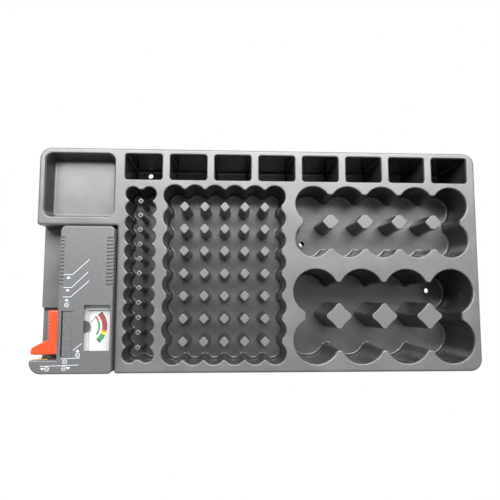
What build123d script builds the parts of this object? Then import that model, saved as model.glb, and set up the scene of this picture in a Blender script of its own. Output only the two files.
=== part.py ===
from build123d import *
from math import cos, hypot, pi, radians, sin, tan
import os

os.makedirs("parts", exist_ok=True)

# Battery organiser tray with a removable analogue battery tester.
# All sizes are in millimetres. The origin is the centre of the tray's footprint, on its underside.
# +X runs along the tray's length, +Y across it towards the nine-volt pockets, +Z up out of the wells.

# ---- tray moulding ----
tray_height = 54.0
deck_thickness = 2.4
deck_corner_radius = 9.3
deck_edge_round = 2.0
bay_corner_radius = 2.4
bay_inner_radius = 1.2
side_wall = 2.0
liner_wall = 1.6
floor_thickness = 2.0
mouth_round = 0.9
section_inset = 0.9
coin_section_inset = 1.9
wall_section_inset = 0.4
foot_cove = 1.8

near_margin = 6.25
far_margin = 4.55
right_margin = 5.4
aaa_margin = 5.75
aaa_to_aa_gap = 5.7
aa_to_cd_gap = 5.75
c_to_d_gap = 9.1
row_to_wells_gap = 4.0

# ---- cells that the wells hold ----
aaa_cell_diameter = 10.5
aa_cell_diameter = 14.5
c_cell_diameter = 26.2
d_cell_diameter = 34.2

# ---- AAA wells ----
aaa_columns = 2
aaa_rows = 12
aaa_pitch_x = 12.56
aaa_pitch_y = 11.38
aaa_play = 0.47
aaa_nose_x = 2.8
aaa_nose_y = 2.2
aaa_nose_round = 0.6
aaa_depth = 31.0
aaa_draft_deg = 0.8
aaa_post_side = 3.9
aaa_post_corner = 1.2
aaa_dimple_radius = 0.8
aaa_dimple_depth = 1.0

# ---- AA wells ----
aa_columns = 6
aa_rows = 8
aa_pitch_x = 15.9
aa_pitch_y = 17.6
aa_play = 1.4
aa_nose_x = 3.4
aa_nose_y = 3.5
aa_nose_round = 1.5
aa_depth = 31.5
aa_draft_deg = 2.4
aa_post_x = 8.4
aa_post_y = 9.1
aa_post_tip = 1.4

# ---- C wells ----
c_columns = 5
c_rows = 2
c_pitch_x = 27.9
c_pitch_y = 28.1
c_play = 1.2
c_nose_x = 6.2
c_nose_y = 6.55
c_nose_round = 1.6
c_depth = 33.0
c_draft_deg = 2.0
c_post_x = 14.2
c_post_y = 15.2
c_post_cap = 11.3
c_post_tip = 1.5

# ---- D wells ----
d_columns = 4
d_rows = 2
d_pitch_x = 36.25
d_pitch_y = 38.1
d_play = 0.9
d_nose_x = 9.7
d_nose_y = 10.5
d_nose_round = 2.6
d_draft_deg = 1.1
d_post_x = 23.2
d_post_y = 23.5
d_post_tip = 2.6
d_post_hollow = 0.95
d_post_hollow_round = 25.0

post_top_wall = 1.5
post_side_wall = 1.2
post_core_corner = 0.4
post_top_round = 0.7

# ---- nine-volt pockets ----
nine_volt_count = 8
nine_volt_cell_length = 26.5
nine_volt_cell_width = 17.5
nine_volt_play_x = 1.45
nine_volt_play_y = 1.6
nine_volt_corner = 2.2
nine_volt_draft_deg = 1.2
nine_volt_left_margin = 4.7
nine_volt_right_margin = 6.8

# ---- coin-cell pocket ----
coin_left_margin = 4.5
coin_length = 54.7
coin_rib = 6.5
coin_corner = 6.2
coin_depth = 15.0
coin_draft_deg = 12.0
coin_cove = 1.2

# ---- wall-mounting screw holes ----
screw_hole_radius = 2.2
screw_ring_radius = 3.7
screw_ring_height = 0.8
screw_boss_radius = 5.4
nine_volt_hole_x = -2.3
nine_volt_hole_inset = 5.2
c_hole_x = -4.7
c_hole_y = -0.8
d_hole_x = 1.2
d_hole_y = 1.9

# ---- tester bay ----
ledge_depth = 19.5
ledge_thickness = 2.0
recess_depth = 23.5
recess_length = 23.0
recess_end = 49.7
recess_corner_radius = 2.4
tester_side_gap = 0.5
tester_far_gap = 1.2
tester_edge_inset = 0.7

# ---- tester casing ----
tester_length = 111.9
tester_body_width = 40.8
tester_foot_reach = 20.0
tester_foot_width = 10.4
tester_thickness = 25.2
tester_rest_gap = 0.3
tester_front_height = 12.0
casing_wall = 1.6
casing_far_round = 4.0
casing_near_round = 3.0
casing_foot_round = 8.6
casing_foot_tip_round = 1.5
casing_edge_round = 1.3
rib_count = 14
rib_pitch = 2.75
rib_gap = 1.4
rib_first_inset = 9.4
rib_reach_left = 3.5
rib_reach_right = 5.4
rib_cut = 0.9
window_length = 34.2
window_width = 19.6
window_right_inset = 1.8
window_near_inset = 17.2
window_corner = 0.8
window_thickness = 1.2
window_sink = 0.4
groove_left_inset = 2.8
groove_width = 8.4
groove_near_inset = 12.8
groove_length = 34.1
groove_depth = 0.8
groove_slit = 1.0
groove_slit_depth = 4.0
screw_post_radius = 3.0
case_screw_radius = 1.25
case_screw_hole_radius = 1.55
case_screw_head_radius = 2.5
case_screw_head_height = 1.6
case_screw_length = 14.0
case_screw_slot_length = 3.75
case_screw_slot_width = 0.5
case_screw_inset = 4.0
foot_screw_inset = 6.9
foot_screw_rise = 5.2

# ---- tester arm and its slot ----
arm_bar_width = 7.2
arm_bar_length = 32.5
arm_gap_to_body = 0.5
arm_gap_to_foot = 4.0
arm_bottom = 40.0
arm_top = 57.0
arm_edge_round = 0.8
arm_toe_reach = 12.2
arm_toe_tip = 4.4
arm_toe_bend_reach = 5.0
arm_toe_bend_rise = 8.4
arm_toe_round = 2.8
arm_toe_rise = 10.3
arm_notches = 6
arm_notch_pitch = 3.1
arm_notch_cut = 1.4
arm_notch_depth = 2.2
arm_notch_first = 4.8
arm_travel = 58.0
stem_length = 16.0
stem_height = 4.0
stem_middle = 48.0
stem_from_near = 6.9
slide_clearance = 0.3
flange_thickness = 2.5
flange_height = 9.0
brush_width = 2.0
brush_length = 6.0

# ---- tester electrics ----
rail_width = 4.0
rail_thickness = 0.5
leaf_thickness = 0.4
leaf_inset = 1.5
leaf_bulge_radius = 3.0
leaf_bulge_height = 1.3
contact_height = 46.0
contact_radius = 2.2
contact_length = 4.5
contact_first_x = -160.4
contact_spacing = 12.8
spring_radius = 1.6
spring_wire = 0.5
spring_anchor_radius = 1.2
board_thickness = 1.6
board_length = 42.0
board_width = 28.0
board_level = 40.5
board_post_radius = 2.0
board_post_inset = 3.0
resistor_count = 3
resistor_radius = 1.8
resistor_length = 9.0
resistor_pitch = 8.0
resistor_lead = 0.4

# ---- tester meter ----
pivot_left_inset = 19.0
pivot_near_inset = 34.9
meter_left_inset = 9.2
meter_near_inset = 13.0
meter_width = 30.0
meter_length = 45.0
meter_wall = 1.2
meter_rim_top = 54.4
dial_top = 52.6
dial_thickness = 0.6
dial_hole_radius = 2.6
bezel_band_left = 2.3
bezel_band_far = 3.9
bezel_thickness = 0.8
yoke_radius = 8.4
yoke_wall = 1.6
yoke_bottom = 37.7
yoke_height = 9.6
magnet_radius = 4.0
magnet_height = 5.0
magnet_arm_width = 2.4
magnet_arm_height = 2.0
coil_bar = 0.9
coil_gap = 0.6
coil_width = 2.4
spindle_radius = 0.45
spindle_clearance = 0.05
needle_reach = 13.5
needle_width = 0.9
needle_thickness = 0.4
needle_hub_radius = 2.0
needle_lift = 0.3
needle_rest_deg = 43.0
bridge_radius = 4.4
bridge_width = 3.0
bridge_thickness = 0.8
needle_tail = 4.5
collet_radius = 1.0
collet_height = 0.8
hairspring_level = 49.2
hairspring_turns = 3
hairspring_pitch = 0.5
hairspring_wire = 0.2
hairspring_points = 16
pivot_pocket = 0.9
pivot_end_gap = 0.3


# ---- layout worked out from the sizes above ----
def well_radius(cell_diameter, play):
    return (cell_diameter + play * 2) / 2


def run(count, pitch, radius):
    return (count - 1) * pitch + 2 * radius


aaa_radius = well_radius(aaa_cell_diameter, aaa_play)
aa_radius = well_radius(aa_cell_diameter, aa_play)
c_radius = well_radius(c_cell_diameter, c_play)
d_radius = well_radius(d_cell_diameter, d_play)
nine_volt_length = nine_volt_cell_length + 2 * nine_volt_play_x
nine_volt_width = nine_volt_cell_width + 2 * nine_volt_play_y

tester_width = tester_body_width + tester_foot_reach
bay_length = tester_width + tester_side_gap + tester_edge_inset
bay_width = tester_length + tester_far_gap + tester_edge_inset

aaa_length = run(aaa_columns, aaa_pitch_x, aaa_radius)
aa_length = run(aa_columns, aa_pitch_x, aa_radius)
c_length = run(c_columns, c_pitch_x, c_radius)
d_length = run(d_columns, d_pitch_x, d_radius)
aaa_width = run(aaa_rows, aaa_pitch_y, aaa_radius)
aa_width = run(aa_rows, aa_pitch_y, aa_radius)
c_width = run(c_rows, c_pitch_y, c_radius)
d_width = run(d_rows, d_pitch_y, d_radius)
cd_length = max(c_length, d_length)
band_width = max(aaa_width, aa_width, c_width + c_to_d_gap + d_width)

tray_length = (bay_length + aaa_margin + aaa_length + aaa_to_aa_gap + aa_length
               + aa_to_cd_gap + cd_length + right_margin)
tray_width = near_margin + band_width + row_to_wells_gap + nine_volt_width + far_margin
tray_left = -tray_length / 2
tray_right = tray_length / 2
tray_near = -tray_width / 2
tray_far = tray_width / 2

deck_underside = tray_height - deck_thickness
bay_right = tray_left + bay_length
bay_far = tray_near + bay_width
band_near = tray_near + near_margin
band_far = band_near + band_width
band_middle = (band_near + band_far) / 2

aaa_x = bay_right + aaa_margin + aaa_length / 2
aa_x = aaa_x + aaa_length / 2 + aaa_to_aa_gap + aa_length / 2
cd_x = aa_x + aa_length / 2 + aa_to_cd_gap + cd_length / 2
c_y = band_far - c_width / 2
d_y = band_near + d_width / 2
nine_volt_y = tray_far - far_margin - nine_volt_width / 2
nine_volt_first = bay_right + nine_volt_left_margin + nine_volt_length / 2
nine_volt_last = tray_right - nine_volt_right_margin - nine_volt_length / 2
nine_volt_pitch = (nine_volt_last - nine_volt_first) / (nine_volt_count - 1)
coin_x = tray_left + coin_left_margin + coin_length / 2
coin_near = bay_far + coin_rib
coin_far = tray_far - far_margin
coin_y = (coin_near + coin_far) / 2
coin_width = coin_far - coin_near
deep_depth = tray_height - floor_thickness

ledge_top = tray_height - ledge_depth
recess_top = tray_height - recess_depth


# ---- helpers ----
on_base = (Align.CENTER, Align.CENTER, Align.MIN)


def save(node, *solids):
    shape = Compound(children=list(solids)) if len(solids) > 1 else solids[0]
    export_step(shape, os.path.join("parts", node + ".step"))


def block(x_low, x_high, y_low, y_high, z_low, z_high):
    size = (x_high - x_low, y_high - y_low, z_high - z_low)
    centre = ((x_low + x_high) / 2, (y_low + y_high) / 2, (z_low + z_high) / 2)
    return Pos(*centre) * Box(*size)


def grid(columns, rows, pitch_x, pitch_y):
    """Centres of a regular grid about the origin."""
    return [
        (pitch_x * (i - (columns - 1) / 2), pitch_y * (j - (rows - 1) / 2))
        for i in range(columns)
        for j in range(rows)
    ]


def scalloped(columns, rows, pitch_x, pitch_y, radius, nose_x, nose_y, grow=0.0, nose_round=0.0):
    """A well field's mouth: round cells whose shared noses end on a rectangle."""
    half_x = (columns - 1) / 2 * pitch_x
    half_y = (rows - 1) / 2 * pitch_y
    outline = Rectangle(2 * (half_x + radius - nose_x + grow), 2 * (half_y + radius - nose_y + grow))
    outline += [
        Pos(x, y) * Circle(radius + grow)
        for x, y in grid(columns, rows, pitch_x, pitch_y)
        if abs(x) > half_x - pitch_x / 2 or abs(y) > half_y - pitch_y / 2
    ]
    if nose_round:
        outline = fillet(outline.vertices(), nose_round)
    return outline


def sink(outline, x, y, top, depth, draft):
    """A drafted solid that narrows downwards from an outline at height top."""
    return extrude(Pos(x, y, top) * outline, amount=-depth, taper=draft)


def basin(mouth, shell, x, y, depth, draft, cove):
    """A hollow's open space, its wall and its dished floor, for a mouth in the deck."""
    floor_level = tray_height - depth
    space = sink(mouth, x, y, tray_height, depth, draft)
    space = fillet(space.edges().group_by(Axis.Z)[0], cove)
    cup = sink(shell, x, y, deck_underside, depth - deck_thickness + floor_thickness, draft)
    cup -= space
    seam = Plane.XY.offset(floor_level + cove)
    return space, split(cup, seam, keep=Keep.TOP), split(cup, seam, keep=Keep.BOTTOM)


def wall_strips(ring, x, y, half_x, reach):
    """The ring wall of a field as left, right, far and near strips that meet face to face at half_x."""
    left = block(x - reach, x - half_x, y - reach, y + reach, 0, tray_height)
    right = block(x + half_x, x + reach, y - reach, y + reach, 0, tray_height)
    far = block(x - half_x, x + half_x, y, y + reach, 0, tray_height)
    near = block(x - half_x, x + half_x, y - reach, y, 0, tray_height)
    return [(ring & part).solid() for part in (left, right, far, near)]


def star(size_x, size_y, tip, cap=None, hollow=0.0, hollow_round=0.0):
    """A four-pointed post section with rounded tips, cut-off ends if capped, and sides that may be hollow."""
    tips = [Vector(size_x / 2, 0), Vector(0, size_y / 2), Vector(-size_x / 2, 0), Vector(0, -size_y / 2)]
    corners = []
    for a, b in zip(tips, tips[1:] + tips[:1]):
        corners.append(a)
        middle = (a + b) / 2
        if hollow:
            corners.append(middle - middle.normalized() * hollow)
    outline = Polygon(*corners, align=None)
    if cap:
        outline &= Rectangle(2 * size_x, cap)
    inner = [v for v in outline.vertices() if abs(v.X) > tip and abs(v.Y) > tip]
    if hollow:
        outline = fillet(inner, hollow_round)
        ends = [v for v in outline.vertices() if min(abs(v.X), abs(v.Y)) < tip / 2]
        return fillet(ends, tip)
    return fillet(outline.vertices(), tip)


def posts(section, core, places, x, y, depth, draft):
    """Free-standing posts of one field, level with the deck and open underneath."""
    height = depth + floor_thickness
    post = sink(section, 0, 0, tray_height, height, -draft)
    outer = post
    post = fillet(post.edges().group_by(Axis.Z)[-1], post_top_round)
    if core is not None:
        post -= sink(core, 0, 0, tray_height - post_top_wall, height - post_top_wall, -draft)
    shift = [Pos(x + px, y + py, 0) for px, py in places]
    return [s * post for s in shift], [s * outer for s in shift]


# ---- the four well fields ----
class Field:
    def __init__(self, name, cells, pitch, radius, nose, nose_round, place, depth, draft):
        self.name = name
        self.columns, self.rows = cells
        self.pitch_x, self.pitch_y = pitch
        self.x, self.y = place
        self.depth = depth
        self.draft = draft
        shape = (*cells, *pitch, radius, *nose)
        mouth = scalloped(*shape, nose_round=nose_round)
        shell = scalloped(*shape, grow=liner_wall)
        self.space, self.ring, self.floor = basin(mouth, shell, *place, depth, draft, foot_cove)
        self.half_x = (self.columns - 1) / 2 * self.pitch_x + radius - nose[0]
        self.half_y = (self.rows - 1) / 2 * self.pitch_y + radius - nose[1]
        narrowing = depth * tan(radians(draft)) + wall_section_inset
        self.walls = wall_strips(self.ring, *place, self.half_x - narrowing, tray_length)

    def window(self):
        """Left, right, near and far limits of the clear opening between the noses, a little inside them."""
        half_x = self.half_x - section_inset
        half_y = self.half_y - section_inset
        return self.x - half_x, self.x + half_x, self.y - half_y, self.y + half_y

    def stand(self, section, core):
        """Put the field's posts where four cells meet, and let their feet through the floor."""
        places = grid(self.columns - 1, self.rows - 1, self.pitch_x, self.pitch_y)
        self.posts, feet = posts(section, core, places, self.x, self.y, self.depth, self.draft)
        self.floor -= feet

    def screw_hole(self, x, y):
        """A wall screw's hole through the floor, inside a low raised ring."""
        level = tray_height - self.depth
        self.floor += Pos(x, y, level) * Cylinder(
            screw_ring_radius, screw_ring_height, align=on_base)
        self.floor -= Pos(x, y, level) * Cylinder(screw_hole_radius, 4 * floor_thickness)

    def write(self):
        save(self.name + "_well_walls", *self.walls)
        save(self.name + "_well_floor", self.floor.solid())
        save(self.name + "_posts", *self.posts)


aaa = Field("aaa", (aaa_columns, aaa_rows), (aaa_pitch_x, aaa_pitch_y), aaa_radius, (aaa_nose_x, aaa_nose_y),
            aaa_nose_round, (aaa_x, band_middle), aaa_depth, aaa_draft_deg)
aa = Field("aa", (aa_columns, aa_rows), (aa_pitch_x, aa_pitch_y), aa_radius, (aa_nose_x, aa_nose_y),
           aa_nose_round, (aa_x, band_middle), aa_depth, aa_draft_deg)
c = Field("c", (c_columns, c_rows), (c_pitch_x, c_pitch_y), c_radius, (c_nose_x, c_nose_y),
          c_nose_round, (cd_x, c_y), c_depth, c_draft_deg)
d = Field("d", (d_columns, d_rows), (d_pitch_x, d_pitch_y), d_radius, (d_nose_x, d_nose_y),
          d_nose_round, (cd_x, d_y), deep_depth, d_draft_deg)

aaa.stand(Rot(0, 0, 45) * RectangleRounded(aaa_post_side, aaa_post_side, aaa_post_corner), None)
dimple = Cylinder(aaa_dimple_radius, 2 * aaa_dimple_depth)
aaa.posts = [
    post - Pos(aaa.x + x, aaa.y + y, tray_height) * dimple
    for post, (x, y) in zip(aaa.posts, grid(aaa_columns - 1, aaa_rows - 1, aaa_pitch_x, aaa_pitch_y))
]
for field, size_x, size_y, hollow, section in (
    (aa, aa_post_x, aa_post_y, 0.0, star(aa_post_x, aa_post_y, aa_post_tip)),
    (c, c_post_x, c_post_y, 0.0, star(c_post_x, c_post_y, c_post_tip, c_post_cap)),
    (d, d_post_x, d_post_y, d_post_hollow,
     star(d_post_x, d_post_y, d_post_tip, hollow=d_post_hollow, hollow_round=d_post_hollow_round)),
):
    side_reach = size_x * size_y / hypot(size_x, size_y) / 2 - hollow
    core_side = 2 * (side_reach - post_side_wall)
    field.stand(section, Rot(0, 0, 45) * RectangleRounded(core_side, core_side, post_core_corner))

c_hole = (c.x - (c_columns - 1) / 2 * c_pitch_x + c_hole_x, c.y - c_pitch_y / 2 + c_hole_y)
d_hole = (d.x + (d_columns - 1) / 2 * d_pitch_x + d_hole_x, d.y + d_pitch_y / 2 + d_hole_y)
c.screw_hole(*c_hole)
d.screw_hole(*d_hole)
c_underside = tray_height - c_depth - floor_thickness
boss = Cylinder(screw_boss_radius, c_underside, align=on_base)
boss -= Cylinder(screw_ring_radius, c_underside, align=on_base)
save("screw_boss", (Pos(*c_hole, 0) * boss).solid())
for field in (aaa, aa, c, d):
    field.write()

# ---- nine-volt pockets and coin-cell pocket ----
def pocket(length, width, corner, grow=0.0):
    return RectangleRounded(length + 2 * grow, width + 2 * grow, corner + grow)


nine_volt_mouth = pocket(nine_volt_length, nine_volt_width, nine_volt_corner)
nine_volt_shell = pocket(nine_volt_length, nine_volt_width, nine_volt_corner, liner_wall)
nine_volt_spaces = []
nine_volt_walls = []
nine_volt_floors = []
nine_volt_hole = (nine_volt_first + nine_volt_hole_x,
                  nine_volt_y + nine_volt_width / 2 - nine_volt_hole_inset)
for i in range(nine_volt_count):
    space, wall, floor = basin(nine_volt_mouth, nine_volt_shell, nine_volt_first + i * nine_volt_pitch,
                               nine_volt_y, deep_depth, nine_volt_draft_deg, foot_cove)
    if i == 0:
        floor -= Pos(*nine_volt_hole, floor_thickness) * Cylinder(screw_hole_radius, 4 * floor_thickness)
    nine_volt_spaces.append(space)
    nine_volt_walls.append(wall.solid())
    nine_volt_floors.append(floor.solid())
save("nine_volt_walls", *nine_volt_walls)
save("nine_volt_floors", *nine_volt_floors)

coin_space, coin_wall, coin_floor = basin(
    pocket(coin_length, coin_width, coin_corner), pocket(coin_length, coin_width, coin_corner, liner_wall),
    coin_x, coin_y, coin_depth, coin_draft_deg, coin_cove)
save("coin_pocket_walls", coin_wall.solid())
save("coin_pocket_floor", coin_floor.solid())

# ---- deck, side walls and tester ledge ----
full_outline = RectangleRounded(tray_length, tray_width, deck_corner_radius)
bay = Pos((tray_left + bay_right) / 2, (tray_near + bay_far) / 2) * Rectangle(bay_length, bay_width)
deck_outline = full_outline - bay
inner_corner = deck_outline.vertices().sort_by_distance((bay_right, bay_far))[0]
deck_outline = fillet(inner_corner, bay_inner_radius)
for corner in ((tray_left, bay_far), (bay_right, tray_near)):
    deck_outline = fillet(deck_outline.vertices().sort_by_distance(corner)[0], bay_corner_radius)

deck = extrude(Pos(0, 0, deck_underside) * deck_outline, amount=deck_thickness)
top_edges = deck.faces().sort_by(Axis.Z)[-1].outer_wire().edges()
deck = fillet(top_edges, deck_edge_round)
deck -= [coin_space] + nine_volt_spaces + [f.space for f in (aaa, aa, c, d)]
mouth_edges = [e for w in deck.faces().sort_by(Axis.Z)[-1].inner_wires() for e in w.edges()]
deck = fillet(mouth_edges, mouth_round)


def deck_section(x_low, x_high, y_low, y_high):
    return (deck & block(x_low, x_high, y_low, y_high, deck_underside, tray_height)).solid()


aaa_left, aaa_right, aaa_low, aaa_high = aaa.window()
aa_left, aa_right, aa_low, aa_high = aa.window()
c_left, c_right, c_low, c_high = c.window()
d_left, d_right, d_low, d_high = d.window()
middle_line = (c_low + d_high) / 2
row_line = nine_volt_y - nine_volt_width / 2 + section_inset
far_line = nine_volt_y + nine_volt_width / 2 - section_inset
coin_left = coin_x - coin_length / 2 + coin_section_inset
coin_right = coin_x + coin_length / 2 - coin_section_inset
coin_line = coin_near + coin_section_inset
coin_far_line = coin_far - coin_section_inset
bay_line = bay_far - bay_corner_radius
bay_rib = bay_right - bay_corner_radius
sections = [
    (tray_left, coin_right, coin_far_line, tray_far),
    (coin_right, tray_right, far_line, tray_far),
    (tray_left, coin_left, coin_line, coin_far_line),
    (tray_left, coin_right, bay_line, coin_line),
    (coin_right, aaa_left, bay_line, row_line),
    (bay_rib, aaa_left, tray_near, bay_line),
    (aaa_left, aaa_right, aaa_high, row_line),
    (aaa_left, aaa_right, tray_near, aaa_low),
    (aaa_right, aa_left, tray_near, row_line),
    (aa_left, aa_right, aa_high, row_line),
    (aa_left, aa_right, tray_near, aa_low),
    (aa_right, c_left, middle_line, row_line),
    (aa_right, d_left, tray_near, middle_line),
    (c_left, c_right, c_high, row_line),
    (c_left, c_right, middle_line, c_low),
    (d_left, d_right, d_high, middle_line),
    (d_left, d_right, tray_near, d_low),
    (c_right, tray_right, middle_line, row_line),
    (d_right, tray_right, tray_near, middle_line),
]
rib_start = coin_right
for i in range(nine_volt_count):
    mouth_x = nine_volt_first + i * nine_volt_pitch
    half_mouth = nine_volt_length / 2 - section_inset
    sections.append((rib_start, mouth_x - half_mouth, row_line, far_line))
    rib_start = mouth_x + half_mouth
sections.append((rib_start, tray_right, row_line, far_line))
deck_sections = [deck_section(*limits) for limits in sections]
save("deck_panel", *deck_sections)

upper_ring = deck_outline - offset(deck_outline, -side_wall, kind=Kind.INTERSECTION)
lower_ring = full_outline - RectangleRounded(
    tray_length - 2 * side_wall, tray_width - 2 * side_wall, deck_corner_radius - side_wall)
side_walls = extrude(Pos(0, 0, ledge_top) * upper_ring, amount=deck_underside - ledge_top)
side_walls += extrude(lower_ring, amount=ledge_top)
bay_reach_x = bay_right + side_wall
bay_reach_y = bay_far + side_wall
recess_right = tray_left + recess_length
recess_far = tray_near + recess_end
side_walls -= block(tray_left, bay_reach_x, tray_near, bay_reach_y, ledge_top - ledge_thickness, ledge_top)
side_walls -= block(tray_left, recess_right + ledge_thickness, tray_near, recess_far + ledge_thickness,
                    recess_top - ledge_thickness, ledge_top)
save("side_walls", side_walls.solid())

ledge_corner = Pos((tray_left + bay_reach_x) / 2, (tray_near + bay_reach_y) / 2)
ledge_area = (ledge_corner * Rectangle(bay_reach_x - tray_left, bay_reach_y - tray_near)) & full_outline


def recess_outline(grow):
    outline = Pos((tray_left + recess_right) / 2, (tray_near + recess_far) / 2) * Rectangle(
        recess_length + 2 * grow, recess_end + 2 * grow)
    return fillet(outline.vertices().group_by(Axis.Y)[-1].sort_by(Axis.X)[-1], recess_corner_radius + grow)


recess_space = extrude(Pos(0, 0, recess_top) * recess_outline(0), amount=ledge_depth)
recess_tub = recess_outline(ledge_thickness) & full_outline
ledge = extrude(Pos(0, 0, ledge_top - ledge_thickness) * ledge_area, amount=ledge_thickness)
ledge += extrude(Pos(0, 0, recess_top - ledge_thickness) * recess_tub, amount=ledge_top - recess_top)
ledge -= recess_space
save("tester_ledge", ledge.solid())


# ---- tester casing ----
tester_right = bay_right - tester_side_gap
tester_left = tester_right - tester_body_width
foot_left = tester_left - tester_foot_reach
tester_near = tray_near + tester_edge_inset
tester_far = tester_near + tester_length
foot_far = tester_near + tester_foot_width
tester_bottom = ledge_top + tester_rest_gap
tester_top = tester_bottom + tester_thickness
parting = tester_top - tester_front_height

casing_outline = Pos((tester_left + tester_right) / 2, (tester_near + tester_far) / 2) * Rectangle(
    tester_body_width, tester_length)
casing_outline += Pos((foot_left + tester_left) / 2, (tester_near + foot_far) / 2) * Rectangle(
    tester_foot_reach, tester_foot_width)
for corner, radius in (
    ((tester_left, tester_far), casing_far_round),
    ((tester_right, tester_far), casing_far_round),
    ((tester_right, tester_near), casing_near_round),
    ((foot_left, tester_near), casing_foot_round),
    ((foot_left, foot_far), casing_foot_tip_round),
):
    casing_outline = fillet(casing_outline.vertices().sort_by_distance(corner)[0], radius)
casing_inside = offset(casing_outline, -casing_wall)


def casing_half(bottom, height, floor_low, rim_face):
    """One half of the casing: a shallow shell whose closed face has rounded edges."""
    solid = extrude(Pos(0, 0, bottom) * casing_outline, amount=height)
    solid = fillet(solid.faces().sort_by(Axis.Z)[rim_face].outer_wire().edges(), casing_edge_round)
    hollow_height = height - casing_wall
    hollow_bottom = bottom + casing_wall if floor_low else bottom
    return solid - extrude(Pos(0, 0, hollow_bottom) * casing_inside, amount=hollow_height)


screw_places = [
    (tester_left + case_screw_inset, tester_far - case_screw_inset),
    (tester_right - case_screw_inset, tester_far - case_screw_inset),
    (tester_right - case_screw_inset, tester_near + case_screw_inset),
    (foot_left + foot_screw_inset, tester_near + foot_screw_rise),
]


def pillar(x, y, bottom, top, radius):
    return Pos(x, y, bottom) * Cylinder(radius, top - bottom, align=on_base)


arm_near = foot_far + arm_gap_to_foot
arm_far = arm_near + arm_bar_length
arm_right = tester_left - arm_gap_to_body
arm_left = arm_right - arm_bar_width
stem_near = arm_near + stem_from_near
stem_far = stem_near + stem_length
inside_left = tester_left + casing_wall
inside_right = tester_right - casing_wall
inside_bottom = tester_bottom + casing_wall
inside_top = tester_top - casing_wall

arm_slot = block(tester_left - casing_wall, inside_left + slide_clearance,
                 stem_near - slide_clearance, stem_far + arm_travel + slide_clearance,
                 stem_middle - stem_height / 2 - slide_clearance,
                 stem_middle + stem_height / 2 + slide_clearance)
contact_places = [contact_first_x + i * contact_spacing for i in range(2)]
contact_holes = [
    Pos(x, tester_near, contact_height) * Rot(90, 0, 0) * Cylinder(contact_radius, 4 * casing_wall)
    for x in contact_places
]

back_cover = casing_half(tester_bottom, parting - tester_bottom, True, 0)
screw_seat = tester_bottom + case_screw_head_height
for x, y in screw_places:
    back_cover += pillar(x, y, inside_bottom - casing_wall / 2, parting, screw_post_radius)
    back_cover -= pillar(x, y, tester_bottom, screw_seat, case_screw_head_radius)
    back_cover -= pillar(x, y, screw_seat, parting, case_screw_hole_radius)
board_left = inside_right - board_width
board_far = tester_far - casing_wall - 2 * screw_post_radius - case_screw_inset
board_near = board_far - board_length
board_corners = [
    (board_left + x, y)
    for x in (board_post_inset, board_width - board_post_inset)
    for y in (board_near + board_post_inset, board_far - board_post_inset)
]
for x, y in board_corners:
    back_cover += pillar(x, y, inside_bottom - casing_wall / 2, board_level, board_post_radius)
spring_x = inside_left + slide_clearance + spring_radius
back_cover += pillar(spring_x, foot_far - spring_anchor_radius, inside_bottom - casing_wall / 2,
                     stem_middle + spring_radius, spring_anchor_radius)
back_cover -= arm_slot
back_cover -= contact_holes
save("tester_back_cover", back_cover.solid())

front_cover = casing_half(parting, tester_front_height, False, -1)
for x, y in screw_places:
    front_cover += pillar(x, y, parting, inside_top + casing_wall / 2, screw_post_radius)
    front_cover -= pillar(x, y, parting, screw_seat + case_screw_length, case_screw_radius)

window_right = tester_right - window_right_inset
window_x = window_right - window_width / 2
window_y = tester_near + window_near_inset + window_length / 2
window_outline = Pos(window_x, window_y) * RectangleRounded(window_width, window_length, window_corner)
front_cover -= extrude(Pos(0, 0, inside_top - casing_wall) * window_outline, amount=3 * casing_wall)
window_top = tester_top - window_sink
window = extrude(Pos(0, 0, window_top - window_thickness) * window_outline, amount=window_thickness)
save("meter_window", window.solid())

groove_left = tester_left + groove_left_inset
groove_near = tester_near + groove_near_inset
groove_far = groove_near + groove_length
front_cover += block(groove_left - casing_wall, groove_left + groove_slit + casing_wall,
                     groove_near, groove_far, tester_top - groove_slit_depth - casing_wall, inside_top)
front_cover -= block(groove_left, groove_left + groove_width, groove_near, groove_far,
                     tester_top - groove_depth, tester_top)
front_cover -= block(groove_left, groove_left + groove_slit, groove_near, groove_far,
                     tester_top - groove_slit_depth, tester_top)
rib_runs = ((tester_left, tester_left + rib_reach_left), (tester_right - rib_reach_right, tester_right))
for i in range(rib_count):
    y = tester_far - rib_first_inset - i * rib_pitch
    for low, high in rib_runs:
        front_cover -= block(low, high, y - rib_gap / 2, y + rib_gap / 2, tester_top - rib_cut, tester_top)
front_cover -= arm_slot
front_cover -= contact_holes
save("tester_front_cover", front_cover.solid())

screws = []
for x, y in screw_places:
    screw = pillar(x, y, tester_bottom, screw_seat, case_screw_head_radius)
    screw += pillar(x, y, screw_seat, screw_seat + case_screw_length, case_screw_radius)
    slot = Pos(x, y, tester_bottom) * Box(case_screw_slot_length, case_screw_slot_width, case_screw_head_height)
    cross = slot + Pos(x, y) * Rot(0, 0, 90) * Pos(-x, -y) * slot
    screws.append((screw - cross).solid())
save("case_screws", *screws)

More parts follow.
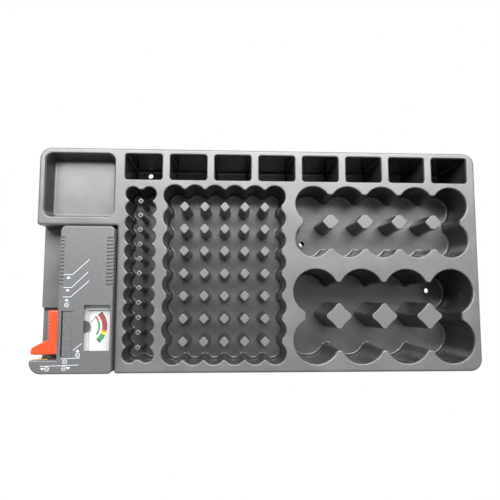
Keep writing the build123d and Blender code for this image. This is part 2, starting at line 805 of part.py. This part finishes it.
# ---- tester arm ----
arm_outline = Pos((arm_left + arm_right) / 2, (arm_near + arm_far) / 2) * Rectangle(
    arm_bar_width, arm_bar_length)
toe_left = arm_left - arm_toe_reach
toe_root = (arm_left + arm_notch_cut, arm_near + arm_toe_rise)
toe_bend = (arm_left - arm_toe_bend_reach, arm_near + arm_toe_bend_rise)
toe = Polygon((toe_left, arm_near), (toe_root[0], arm_near), toe_root, (arm_left, toe_root[1]), toe_bend,
              (toe_left, arm_near + arm_toe_tip), align=None)
toe = fillet(toe.vertices().sort_by_distance((toe_left, arm_near + arm_toe_tip))[0], arm_toe_round)
arm_outline += toe
arm = extrude(Pos(0, 0, arm_bottom) * arm_outline, amount=arm_top - arm_bottom)
arm = fillet(arm.faces().sort_by(Axis.Z)[-1].outer_wire().edges(), arm_edge_round)
for i in range(arm_notches):
    y = arm_far - arm_notch_first - i * arm_notch_pitch
    arm -= block(arm_left, arm_left + arm_notch_depth, y - arm_notch_cut / 2, y + arm_notch_cut / 2,
                 arm_bottom, arm_top)
flange_left = inside_left + slide_clearance
flange_right = flange_left + flange_thickness
stem_low = stem_middle - stem_height / 2
arm += block(arm_right, flange_left, stem_near, stem_far, stem_low, stem_low + stem_height)
arm += block(flange_left, flange_right, stem_near, stem_far,
             stem_middle - flange_height / 2, stem_middle + flange_height / 2)
save("slider_arm", arm.solid())

toe_plate = block(toe_left + arm_notch_cut, arm_left - arm_notch_cut, arm_near - leaf_thickness, arm_near,
                  arm_bottom + leaf_inset, arm_top - leaf_inset)
save("toe_contact", toe_plate)
rail_middle = flange_left + flange_thickness / 2
rail_top = inside_bottom + rail_thickness
brush_middle = (stem_near + stem_far) / 2
brush = block(rail_middle - brush_width / 2, rail_middle + brush_width / 2, brush_middle - brush_length / 2,
              brush_middle + brush_length / 2, rail_top + slide_clearance, stem_middle - flange_height / 2)
save("slider_brush", brush)
rail = block(rail_middle - rail_width / 2, rail_middle + rail_width / 2, foot_far, stem_far + arm_travel,
             inside_bottom, rail_top)
rail -= block(tester_left, inside_left, tester_near, tester_far, tester_bottom, tester_top)
save("slider_rail", rail.solid())

spring_length = stem_near - foot_far
coils = Cylinder(spring_radius, spring_length, align=on_base) - Cylinder(
    spring_radius - spring_wire, spring_length, align=on_base)
save("slider_spring", (Pos(spring_x, foot_far, stem_middle) * Rot(-90, 0, 0) * coils).solid())

# ---- tester electrics ----
leaf_left = toe_left + arm_notch_cut
leaf_middle_x = (leaf_left + arm_left) / 2
leaf = block(leaf_left, arm_left, foot_far, foot_far + leaf_thickness, arm_bottom + leaf_inset,
             arm_top - leaf_inset)
bulge = Pos(leaf_middle_x, foot_far, stem_middle) * Rot(-90, 0, 0) * Cone(
    leaf_bulge_radius, leaf_bulge_radius / 2, leaf_bulge_height, align=on_base)
leaf += bulge
save("foot_contact", leaf.solid())

stud = Cylinder(contact_radius, contact_length, align=on_base)
studs = [Pos(x, tester_near, contact_height) * Rot(-90, 0, 0) * stud for x in contact_places]
save("nine_volt_contacts", *studs)

board_x = board_left + board_width / 2
board_y = (board_near + board_far) / 2
board = block(board_left, inside_right, board_near, board_far, board_level, board_level + board_thickness)
board_top = board_level + board_thickness
resistors = []
for i in range(resistor_count):
    y = board_y + (i - (resistor_count - 1) / 2) * resistor_pitch
    level = board_top + resistor_radius
    resistor = Pos(board_x, y, level) * Rot(0, 90, 0) * Cylinder(resistor_radius, resistor_length)
    for side in (-1, 1):
        x = board_x + side * (resistor_length / 2 + resistor_radius)
        reach = Pos(board_x + side * resistor_length / 2, y, level) * Rot(0, 90 * side, 0)
        resistor += reach * Cylinder(resistor_lead, resistor_radius, align=on_base)
        resistor += pillar(x, y, board_level, level, resistor_lead) + Pos(x, y, level) * Sphere(resistor_lead)
        board -= pillar(x, y, board_level, board_top, resistor_lead)
    resistors.append(resistor.solid())
save("circuit_board", board.solid())
save("load_resistors", *resistors)

# ---- meter ----
pivot_x = tester_left + pivot_left_inset
pivot_y = tester_near + pivot_near_inset
meter_left = tester_left + meter_left_inset
meter_right = meter_left + meter_width
meter_near = tester_near + meter_near_inset
meter_far = meter_near + meter_length


def at_pivot(bottom, top, radius):
    return pillar(pivot_x, pivot_y, bottom, top, radius)


meter_box = block(meter_left, meter_right, meter_near, meter_far, inside_bottom, meter_rim_top)
meter_box -= block(meter_left + meter_wall, meter_right - meter_wall, meter_near + meter_wall,
                   meter_far - meter_wall, yoke_bottom, meter_rim_top)
dial_bottom = dial_top - dial_thickness
meter_box -= block(meter_left + meter_wall / 2, meter_right - meter_wall / 2, meter_near + meter_wall / 2,
                   meter_far - meter_wall / 2, dial_bottom, meter_rim_top)
bezel_bottom = meter_rim_top - bezel_thickness
bezel = block(meter_left + meter_wall / 2, window_x - window_width / 2 + bezel_band_left,
              meter_near + meter_wall / 2, meter_far - meter_wall / 2, bezel_bottom, meter_rim_top)
bezel += block(meter_left + meter_wall / 2, meter_right - meter_wall / 2,
               window_y + window_length / 2 - bezel_band_far, meter_far - meter_wall / 2,
               bezel_bottom, meter_rim_top)
meter_box += bezel
meter_box -= at_pivot(yoke_bottom - pivot_pocket, yoke_bottom, spindle_radius + spindle_clearance)
meter_box -= at_pivot(dial_top, meter_rim_top, spindle_radius + slide_clearance)
save("meter_frame", meter_box.solid())

dial = block(meter_left + meter_wall / 2, meter_right - meter_wall / 2, meter_near + meter_wall / 2,
             meter_far - meter_wall / 2, dial_bottom, dial_top)
save("meter_dial", (dial - at_pivot(dial_bottom, dial_top, dial_hole_radius)).solid())

yoke_top = yoke_bottom + yoke_height
yoke_inside = yoke_radius - yoke_wall
yoke = at_pivot(yoke_bottom, yoke_top, yoke_radius) - at_pivot(yoke_bottom, yoke_top, yoke_inside)
save("meter_yoke", yoke)
core_middle = (yoke_bottom + yoke_top) / 2
magnet = at_pivot(core_middle - magnet_height / 2, core_middle + magnet_height / 2, magnet_radius)
magnet_arms = block(pivot_x - yoke_inside, pivot_x + yoke_inside, pivot_y - magnet_arm_width / 2,
                    pivot_y + magnet_arm_width / 2, core_middle - magnet_arm_height / 2,
                    core_middle + magnet_arm_height / 2)
magnet += magnet_arms & at_pivot(yoke_bottom, yoke_top, yoke_inside)
save("meter_magnet", magnet.solid())

bridge_top = meter_rim_top + bridge_thickness
bridge = at_pivot(meter_rim_top, bridge_top, bridge_radius)
bridge += block(meter_left + meter_wall, pivot_x, pivot_y - bridge_width / 2, pivot_y + bridge_width / 2,
                meter_rim_top, bridge_top)
spindle_top = bridge_top - spindle_clearance - pivot_end_gap
bridge -= at_pivot(meter_rim_top, spindle_top + pivot_end_gap, spindle_radius + spindle_clearance)
save("bearing_bridge", bridge.solid())

turned = Pos(pivot_x, pivot_y) * Rot(0, 0, needle_rest_deg)
coil_inside = magnet_radius + coil_gap
coil_outside = coil_inside + coil_bar
coil_half = magnet_height / 2 + coil_gap
coil_low = core_middle - coil_half - coil_bar
coil_high = core_middle + coil_half + coil_bar
coil = block(-coil_width / 2, coil_width / 2, -coil_outside, coil_outside, coil_low, coil_high)
coil -= block(-coil_width / 2, coil_width / 2, -coil_inside, coil_inside,
              core_middle - coil_half, core_middle + coil_half)
save("meter_coil", turned * coil)

spindle_low = at_pivot(yoke_bottom - pivot_pocket + pivot_end_gap, coil_low, spindle_radius)
spindle_high = at_pivot(coil_high, spindle_top, spindle_radius)
spindle_high += at_pivot(hairspring_level - collet_height / 2, hairspring_level + collet_height / 2,
                         collet_radius)
save("meter_spindle", spindle_low, spindle_high)

needle_bottom = dial_top + needle_lift
pointer = Polygon((needle_reach, 0), (0, needle_width / 2), (-needle_tail, needle_width),
                  (-needle_tail, -needle_width), (0, -needle_width / 2), align=None)
pointer += Circle(needle_hub_radius)
needle = extrude(Pos(0, 0, needle_bottom) * pointer, amount=needle_thickness)
save("meter_needle", (turned * needle - at_pivot(needle_bottom, spindle_top, spindle_radius)).solid())

spiral = []
for i in range(hairspring_turns * hairspring_points + 1):
    turns = i / hairspring_points
    radius = collet_radius + hairspring_wire / 2 + turns * hairspring_pitch
    angle = 2 * pi * turns
    spiral.append((pivot_x + radius * cos(angle), pivot_y + radius * sin(angle), hairspring_level))
coiled = Spline(*spiral)
hairspring = sweep(Plane(coiled @ 0, z_dir=coiled % 0) * Circle(hairspring_wire / 2), path=coiled)
save("meter_hairspring", hairspring.solid())
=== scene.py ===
from math import cos, radians, sin

import bpy
from mathutils import Euler, Matrix, Vector


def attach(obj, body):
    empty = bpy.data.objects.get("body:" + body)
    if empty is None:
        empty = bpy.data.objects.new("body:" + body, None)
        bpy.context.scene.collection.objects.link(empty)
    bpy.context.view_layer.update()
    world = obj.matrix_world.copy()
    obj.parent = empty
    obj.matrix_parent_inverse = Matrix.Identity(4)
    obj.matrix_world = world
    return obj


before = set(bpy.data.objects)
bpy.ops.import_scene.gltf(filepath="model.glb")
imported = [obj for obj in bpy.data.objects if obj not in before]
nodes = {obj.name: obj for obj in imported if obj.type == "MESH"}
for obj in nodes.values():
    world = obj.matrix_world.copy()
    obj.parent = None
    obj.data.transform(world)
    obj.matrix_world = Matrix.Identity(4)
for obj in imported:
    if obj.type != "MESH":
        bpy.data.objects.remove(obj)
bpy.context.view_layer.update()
MM = 0.001

# Camera. It stands almost straight above the tray and looks down at it, a little from the near side.
# The three turns and the height were solved from the even rows of wells, so they aren't round numbers.
camera_turn = Euler((-0.0985, -0.0502, 0.0059)).to_matrix()
camera_place = Vector((-28.69, -30.85, 437.8)) * MM
flip = Vector((1, -1, -1))
right, down, ahead = [Vector(row) * flip for row in camera_turn]
camera_data = bpy.data.cameras.new("camera")
camera_data.sensor_width = 36
camera_data.lens = 35.28
camera_data.clip_start = 0.01
camera = bpy.data.objects.new("camera", camera_data)
camera.matrix_world = Matrix.Translation(camera_place) @ Matrix((right, -down, -ahead)).transposed().to_4x4()
bpy.context.scene.collection.objects.link(camera)
bpy.context.scene.camera = camera
bpy.context.scene.view_settings.view_transform = "Standard"


# Studio. A white sweep under the tray, one broad softbox beyond its far edge, and weak ones near left and
# overhead. The far softbox is what the satin deck and the glossy well floors mirror towards the camera.
class Wire:
    """One output of a shader node, with the usual operators."""

    def __init__(self, tree, socket):
        self.tree = tree
        self.socket = socket

    def node(self, kind, settings=None, output=0, **inputs):
        made = self.tree.nodes.new(kind)
        for name, value in (settings or {}).items():
            setattr(made, name, value)
        for name, value in inputs.items():
            key = name.replace("_", " ")
            target = made.inputs[int(key[5:])] if key.startswith("input") else made.inputs[key]
            if isinstance(value, Wire):
                self.tree.links.new(value.socket, target)
            else:
                target.default_value = value
        return Wire(self.tree, made.outputs[output])

    def math(self, operation, other=0.0, third=0.0, clamp=False):
        settings = {"operation": operation, "use_clamp": clamp}
        return self.node("ShaderNodeMath", settings, input0=self, input1=other, input2=third)

    def __add__(self, other):
        return self.math("ADD", other)

    def __mul__(self, other):
        return self.math("MULTIPLY", other)

    def __sub__(self, other):
        return self.math("SUBTRACT", other)

    def __rsub__(self, other):
        return self * -1.0 + other

    def __truediv__(self, other):
        return self.math("DIVIDE", other)

    def step(self, start, end):
        """0 below start, 1 above end, straight in between."""
        return ((self - start) / (end - start)).math("ADD", 0.0, clamp=True)

    def blend(self, first, second):
        """first where this is 0, second where it is 1, for colours."""
        settings = {"data_type": "RGBA"}
        return self.node("ShaderNodeMix", settings, output=2, input0=self, input6=first, input7=second)


class Finish:
    """A material with one main shader and the place of each point in millimetres."""

    def __init__(self, name):
        self.material = bpy.data.materials.new(name)
        self.material.use_nodes = True
        self.tree = self.material.node_tree
        self.shader = self.tree.nodes["Principled BSDF"]
        place = self.tree.nodes.new("ShaderNodeTexCoord")
        start = Wire(self.tree, place.outputs["Object"])
        self.place = start.node("ShaderNodeVectorMath", {"operation": "SCALE"}, input0=start, Scale=1000.0)
        split = self.tree.nodes.new("ShaderNodeSeparateXYZ")
        self.tree.links.new(self.place.socket, split.inputs[0])
        self.x, self.y, self.z = [Wire(self.tree, out) for out in split.outputs]

    def noise(self, scale, detail=3.0):
        """Even noise of about 0.5, with features of roughly 1 / scale millimetres."""
        return self.place.node("ShaderNodeTexNoise", Vector=self.place, Scale=scale, Detail=detail)

    def set(self, name, value):
        if isinstance(value, Wire):
            self.tree.links.new(value.socket, self.shader.inputs[name])
        else:
            self.shader.inputs[name].default_value = value

    def bump(self, height, strength, distance=0.0001):
        normal = height.node("ShaderNodeBump", Strength=strength, Distance=distance, Height=height)
        self.set("Normal", normal)

    def on(self, *names):
        for name in names:
            nodes[name].data.materials.clear()
            nodes[name].data.materials.append(self.material)


def colour(red, green, blue):
    return (red, green, blue, 1.0)


drift_scale = 0.05
drift_low, drift_high = 0.35, 0.65
rough_spread = 0.12
rough_patch = 4


def moulded(name, shade, rough, grain=3.0, grain_depth=0.15, mottle=0.12):
    """Moulded plastic: a shade that drifts a little, and a fine spark-eroded grain."""
    finish = Finish(name)
    drift = finish.noise(drift_scale).step(drift_low, drift_high)
    darker = colour(*[value * (1 - mottle) for value in shade])
    lighter = colour(*[value * (1 + mottle) for value in shade])
    finish.set("Base Color", drift.blend(darker, lighter))
    finish.set("Roughness", finish.noise(grain / rough_patch) * rough_spread + (rough - rough_spread / 2))
    finish.bump(finish.noise(grain), grain_depth)
    return finish


def soft_light(name, place, aim, size_x, size_y, power):
    data = bpy.data.lights.new(name, "AREA")
    data.shape = "RECTANGLE"
    data.size = size_x
    data.size_y = size_y
    data.energy = power
    lamp = bpy.data.objects.new(name, data)
    lamp.location = place
    lamp.rotation_euler = (Vector(aim) - Vector(place)).to_track_quat("-Z", "Y").to_euler()
    bpy.context.scene.collection.objects.link(lamp)


tray_middle = (0, 0, 0.03)
soft_light("far_softbox", (0.0, 0.50, 0.75), aim=(0, 0.10, 0.03), size_x=1.3, size_y=0.5, power=36.0)
soft_light("near_softbox", (-0.7, -0.5, 0.9), aim=tray_middle, size_x=0.6, size_y=0.6, power=1.2)
soft_light("top_softbox", (0.3, 0.1, 1.1), aim=tray_middle, size_x=0.8, size_y=0.8, power=2.0)

world = bpy.data.worlds.new("world")
world.use_nodes = True
sky = world.node_tree
fill = sky.nodes["Background"]
fill.inputs["Color"].default_value = colour(0.9, 0.93, 1.0)
fill.inputs["Strength"].default_value = 0.20
backdrop = sky.nodes.new("ShaderNodeBackground")
backdrop.inputs["Color"].default_value = colour(1, 1, 1)
seen = sky.nodes.new("ShaderNodeLightPath")
either = sky.nodes.new("ShaderNodeMixShader")
sky.links.new(seen.outputs["Is Camera Ray"], either.inputs[0])
sky.links.new(fill.outputs[0], either.inputs[1])
sky.links.new(backdrop.outputs[0], either.inputs[2])
sky.links.new(either.outputs[0], sky.nodes["World Output"].inputs["Surface"])
bpy.context.scene.world = world

floor_mesh = bpy.data.meshes.new("floor")
floor_reach = 3.0
floor_drop = 0.0002
corners = [(-floor_reach, -floor_reach, 0), (floor_reach, -floor_reach, 0), (floor_reach, floor_reach, 0),
           (-floor_reach, floor_reach, 0)]
floor_mesh.from_pydata(corners, [], [(0, 1, 2, 3)])
floor = bpy.data.objects.new("floor", floor_mesh)
floor.location.z = -floor_drop
bpy.context.scene.collection.objects.link(floor)
sweep = Finish("white_sweep")
sweep.set("Base Color", colour(0.95, 0.95, 0.95))
sweep.set("Roughness", 0.9)
direct = sweep.x.node("ShaderNodeLightPath", None, 0)
glow = sweep.tree.nodes.new("ShaderNodeEmission")
glow.inputs["Color"].default_value = colour(1, 1, 1)
mix = sweep.tree.nodes.new("ShaderNodeMixShader")
sweep.tree.links.new(direct.socket, mix.inputs[0])
sweep.tree.links.new(sweep.shader.outputs[0], mix.inputs[1])
sweep.tree.links.new(glow.outputs[0], mix.inputs[2])
sweep.tree.links.new(mix.outputs[0], sweep.tree.nodes["Material Output"].inputs["Surface"])
floor_mesh.materials.append(sweep.material)

# Tray. One dark grey moulding: a satin deck with rounded well mouths, over glossier well walls, floors
# and posts. The deck's face is spark-eroded; the wells keep the polish of the mould's cores.
deck_grey = (0.082, 0.083, 0.085)
# The well walls and post sides are the deck's plastic given a darker grey: painted shade in the wells.
well_painted_shade_grey = (0.022, 0.0225, 0.024)
# The well floors are the deck's plastic given a slightly darker grey: painted shade in the wells.
floor_painted_shade_grey = (0.065, 0.066, 0.068)
# The side walls and screw boss are the deck's plastic given a darker grey: painted shade on the sides.
skirt_painted_shade_grey = (0.030, 0.031, 0.033)
moulded("satin_deck", deck_grey, 0.33, grain=4.0, grain_depth=0.25).on(
    "deck_panel", "coin_pocket_floor", "tester_ledge")
moulded("polished_walls_painted_shade", well_painted_shade_grey, 0.16, grain=0.8, grain_depth=0.03).on(
    "aaa_well_walls", "aa_well_walls", "c_well_walls", "d_well_walls", "nine_volt_walls", "coin_pocket_walls")
moulded("glossy_floors_painted_shade", floor_painted_shade_grey, 0.26, grain=0.5, grain_depth=0.06).on(
    "aaa_well_floor", "aa_well_floor", "c_well_floor", "d_well_floor", "nine_volt_floors")
post_side_end, post_top_start = 53.0, 53.9
post_side_rough, post_top_extra = 0.2, 0.2
posts = moulded("moulded_posts_painted_shade", well_painted_shade_grey, post_side_rough, grain=2.0, grain_depth=0.05)
# Post sides take the darker well grey as painted shade. The tops keep the deck's grey and a rougher satin
# finish.
satin_unshaded_post_top = posts.z.step(post_side_end, post_top_start)
posts.set("Base Color", satin_unshaded_post_top.blend(colour(*well_painted_shade_grey), colour(*deck_grey)))
posts.set("Roughness", satin_unshaded_post_top * post_top_extra + post_side_rough)
posts.on("aaa_posts", "aa_posts", "c_posts", "d_posts")
moulded("plain_skirt_painted_shade", skirt_painted_shade_grey, 0.4, grain=2.5, grain_depth=0.1).on("side_walls", "screw_boss")

# Tester casing. Two halves of grey plastic with a fine grain, held by four screws from behind.
# Its front carries white pad-printed guides: bent lines that lead to each contact, with small triangles
# and rings. The ribs at both edges are finger grips.
casing_grey = (0.048, 0.050, 0.052)
casing_speckle = (0.096, 0.098, 0.101)
speckle_scale = 1.5
speckle_low, speckle_high = 0.40, 0.62
print_white = (0.50, 0.52, 0.54)
print_level_low, print_level_high = 59.5, 59.7
print_edge_inside, print_edge_outside = -0.05, 0.12
moulded("tester_casing", casing_grey, 0.45, grain=5.0, grain_depth=0.3).on("tester_back_cover")
printed = moulded("printed_casing", casing_grey, 0.45, grain=5.0, grain_depth=0.3)
print_lines = [
    [(-150.6, -13.0), (-144.3, -13.0), (-132.0, -1.5)],
    [(-150.6, -22.8), (-144.7, -22.8), (-132.8, -11.0)],
    [(-150.7, -29.9), (-145.2, -29.9), (-131.8, -17.8)],
    [(-141.9, -69.7), (-135.8, -64.6)],
    [(-150.5, -75.9), (-136.6, -75.2)],
    [(-165.6, -81.3), (-137.8, -80.4)],
]
print_line_width = 0.26
print_rings = [(-147.9, -35.9), (-138.5, -73.0), (-147.8, -78.1), (-160.7, -83.2), (-148.4, -82.9)]
print_ring_radius = 1.5
print_ring_line = 0.26
print_triangles = [(-147.2, -15.4, 1), (-147.6, -24.9, 1), (-148.0, -32.4, 1), (-138.6, -70.2, 1),
                   (-164.0, -83.1, -1), (-145.1, -82.5, -1)]
print_triangle_height = 1.7
print_triangle_slope = radians(51)


def stroke(finish, start, end):
    """Distance from a straight stroke, in millimetres."""
    ax, ay = start
    dx, dy = end[0] - ax, end[1] - ay
    along = ((finish.x - ax) * dx + (finish.y - ay) * dy) / (dx * dx + dy * dy)
    along = along.math("ADD", 0.0, clamp=True)
    off_x = finish.x - (along * dx + ax)
    off_y = finish.y - (along * dy + ay)
    return (off_x * off_x + off_y * off_y).math("SQRT")


def ring(finish, x, y):
    """Distance outside a thin ring with a short bar in it, in millimetres."""
    off_x = finish.x - x
    off_y = finish.y - y
    hoop = ((off_x * off_x + off_y * off_y).math("SQRT") - print_ring_radius).math("ABSOLUTE")
    bar = stroke(finish, (x - print_ring_radius / 2, y), (x + print_ring_radius / 2, y))
    return hoop.math("MINIMUM", bar) - print_ring_line / 2


def triangle(finish, x, y, up):
    """Distance outside a small triangle that points up or down."""
    rise = (finish.y - y) * up
    side = (finish.x - x).math("ABSOLUTE") * sin(print_triangle_slope)
    side = side + (rise - print_triangle_height * 2 / 3) * cos(print_triangle_slope)
    return side.math("MAXIMUM", rise * -1.0 - print_triangle_height / 3)


nearest = None
for chain in print_lines:
    for start, end in zip(chain, chain[1:]):
        gap = stroke(printed, start, end) - print_line_width / 2
        nearest = gap if nearest is None else nearest.math("MINIMUM", gap)
for mark in print_rings:
    nearest = nearest.math("MINIMUM", ring(printed, *mark))
for mark in print_triangles:
    nearest = nearest.math("MINIMUM", triangle(printed, *mark))
on_top = printed.z.step(print_level_low, print_level_high)
ink = (1.0 - nearest.step(print_edge_inside, print_edge_outside)) * on_top
speckle = printed.noise(speckle_scale).step(speckle_low, speckle_high)
bare = speckle.blend(colour(*casing_grey), colour(*casing_speckle))
printed.set("Base Color", ink.blend(bare, colour(*print_white)))
printed.on("tester_front_cover")

# Sliding arm. Red-orange moulded plastic with finger notches at its left edge, and a copper plate on its
# toe that presses a battery against the tester's foot.
arm_red = (0.80, 0.040, 0.007)
moulded("red_arm", arm_red, 0.35, grain=3.0, grain_depth=0.1, mottle=0.06).on("slider_arm")

# Bare metal. Copper strip for everything that carries current, zinc-plated steel for the screws, the spring
# and the meter's magnetic parts.
streak_scale, streak_detail = 1.2, 5.0
streak_low, streak_high = 0.3, 0.7
streak_shade = 0.85
streak_rough = 0.15


def metal(name, shade, rough):
    """Drawn or stamped metal with fine streaks and a slightly uneven shine."""
    finish = Finish(name)
    streaks = finish.noise(streak_scale, streak_detail).step(streak_low, streak_high)
    dull = colour(*[value * streak_shade for value in shade])
    finish.set("Base Color", streaks.blend(dull, colour(*shade)))
    finish.set("Metallic", 1.0)
    finish.set("Roughness", streaks * streak_rough + rough)
    return finish


metal("copper_strip", (0.80, 0.56, 0.32), 0.25).on(
    "toe_contact", "foot_contact", "slider_brush", "slider_rail", "nine_volt_contacts", "meter_hairspring")
metal("zinc_steel", (0.62, 0.62, 0.60), 0.3).on(
    "case_screws", "slider_spring", "meter_yoke", "meter_spindle", "meter_magnet")

# Electrics. A brown laminate board with three lacquered resistors, hidden in the casing. They load the
# battery under test, so that the meter reads its voltage at work.
moulded("laminate_board", (0.24, 0.13, 0.05), 0.5).on("circuit_board")
moulded("resistor_lacquer", (0.55, 0.42, 0.22), 0.3).on("load_resistors")

# Meter. A pale plastic frame, a printed card dial, a clear lens and a painted needle on a wound coil.
# The dial's outer band is for round cells, from red through yellow to green, the inner one for nine volts.
moulded("meter_frame_plastic", (0.34, 0.35, 0.35), 0.4).on("meter_frame")
moulded("dial_card", (0.40, 0.41, 0.41), 0.7, grain=6.0).on("meter_dial")
moulded("bearing_block", (0.040, 0.028, 0.020), 0.4, mottle=0.5).on("bearing_bridge")
moulded("needle_paint", (0.33, 0.24, 0.13), 0.4).on("meter_needle")
moulded("enamelled_winding", (0.35, 0.12, 0.04), 0.3, grain=8.0, grain_depth=0.4).on("meter_coil")
dial_face = 52.63
band_step_deg = 2
least_band_steps = 2
outer_band = (12.6, 16.6)
inner_band = (9.7, 11.2)
pivot = (-135.4, -52.4)
dial_colours = {
    "black": (0.006, 0.006, 0.006), "dark_red": (0.17, 0.005, 0.005), "red": (0.30, 0.010, 0.007),
    "orange": (0.50, 0.09, 0.004), "yellow": (0.50, 0.36, 0.02), "green": (0.008, 0.14, 0.03),
}
dial_bands = [
    ("black", *outer_band, 43.3, 40.8),
    ("dark_red", *outer_band, 40.8, -10.5),
    ("orange", *outer_band, -10.5, -16.0),
    ("yellow", *outer_band, -16.0, -23.7),
    ("green", *outer_band, -23.7, -45.0),
    ("black", *outer_band, -45.0, -49.0),
    ("black", *inner_band, 48.0, 46.0),
    ("red", *inner_band, 46.0, 24.0),
    ("green", *inner_band, 24.0, -36.0),
]
inks = {
    name: moulded("dial_ink_" + name, shade, 0.75, grain=6.0, mottle=0.08)
    for name, shade in dial_colours.items()
}


def dial_band(name, inner, outer, start, end):
    """A printed ring sector on the dial, as a thin skin over the card. Turns are in degrees."""
    steps = max(least_band_steps, int(abs(start - end) / band_step_deg))
    rim = []
    for i in range(steps + 1):
        turn = radians(start + (end - start) * i / steps)
        for radius in (inner, outer):
            rim.append(Vector((pivot[0] + radius * cos(turn), pivot[1] + radius * sin(turn), dial_face)) * MM)
    faces = [(2 * i, 2 * i + 1, 2 * i + 3, 2 * i + 2) for i in range(steps)]
    mesh = bpy.data.meshes.new("dial_band_" + name)
    mesh.from_pydata(rim, [], [face[::-1] for face in faces])
    mesh.materials.append(inks[name].material)
    band = bpy.data.objects.new("dial_band_" + name, mesh)
    bpy.context.scene.collection.objects.link(band)
    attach(band, "tester")


for band in dial_bands:
    dial_band(*band)
lens_alpha, lens_alpha_spread = 0.03, 0.01
lens_patch_scale = 0.1
lens = moulded("clear_lens", (0.35, 0.36, 0.36), 0.05, grain=0.2, grain_depth=0.02, mottle=0.02)
lens.set("Alpha", lens.noise(lens_patch_scale) * lens_alpha_spread + lens_alpha)
lens.on("meter_window")
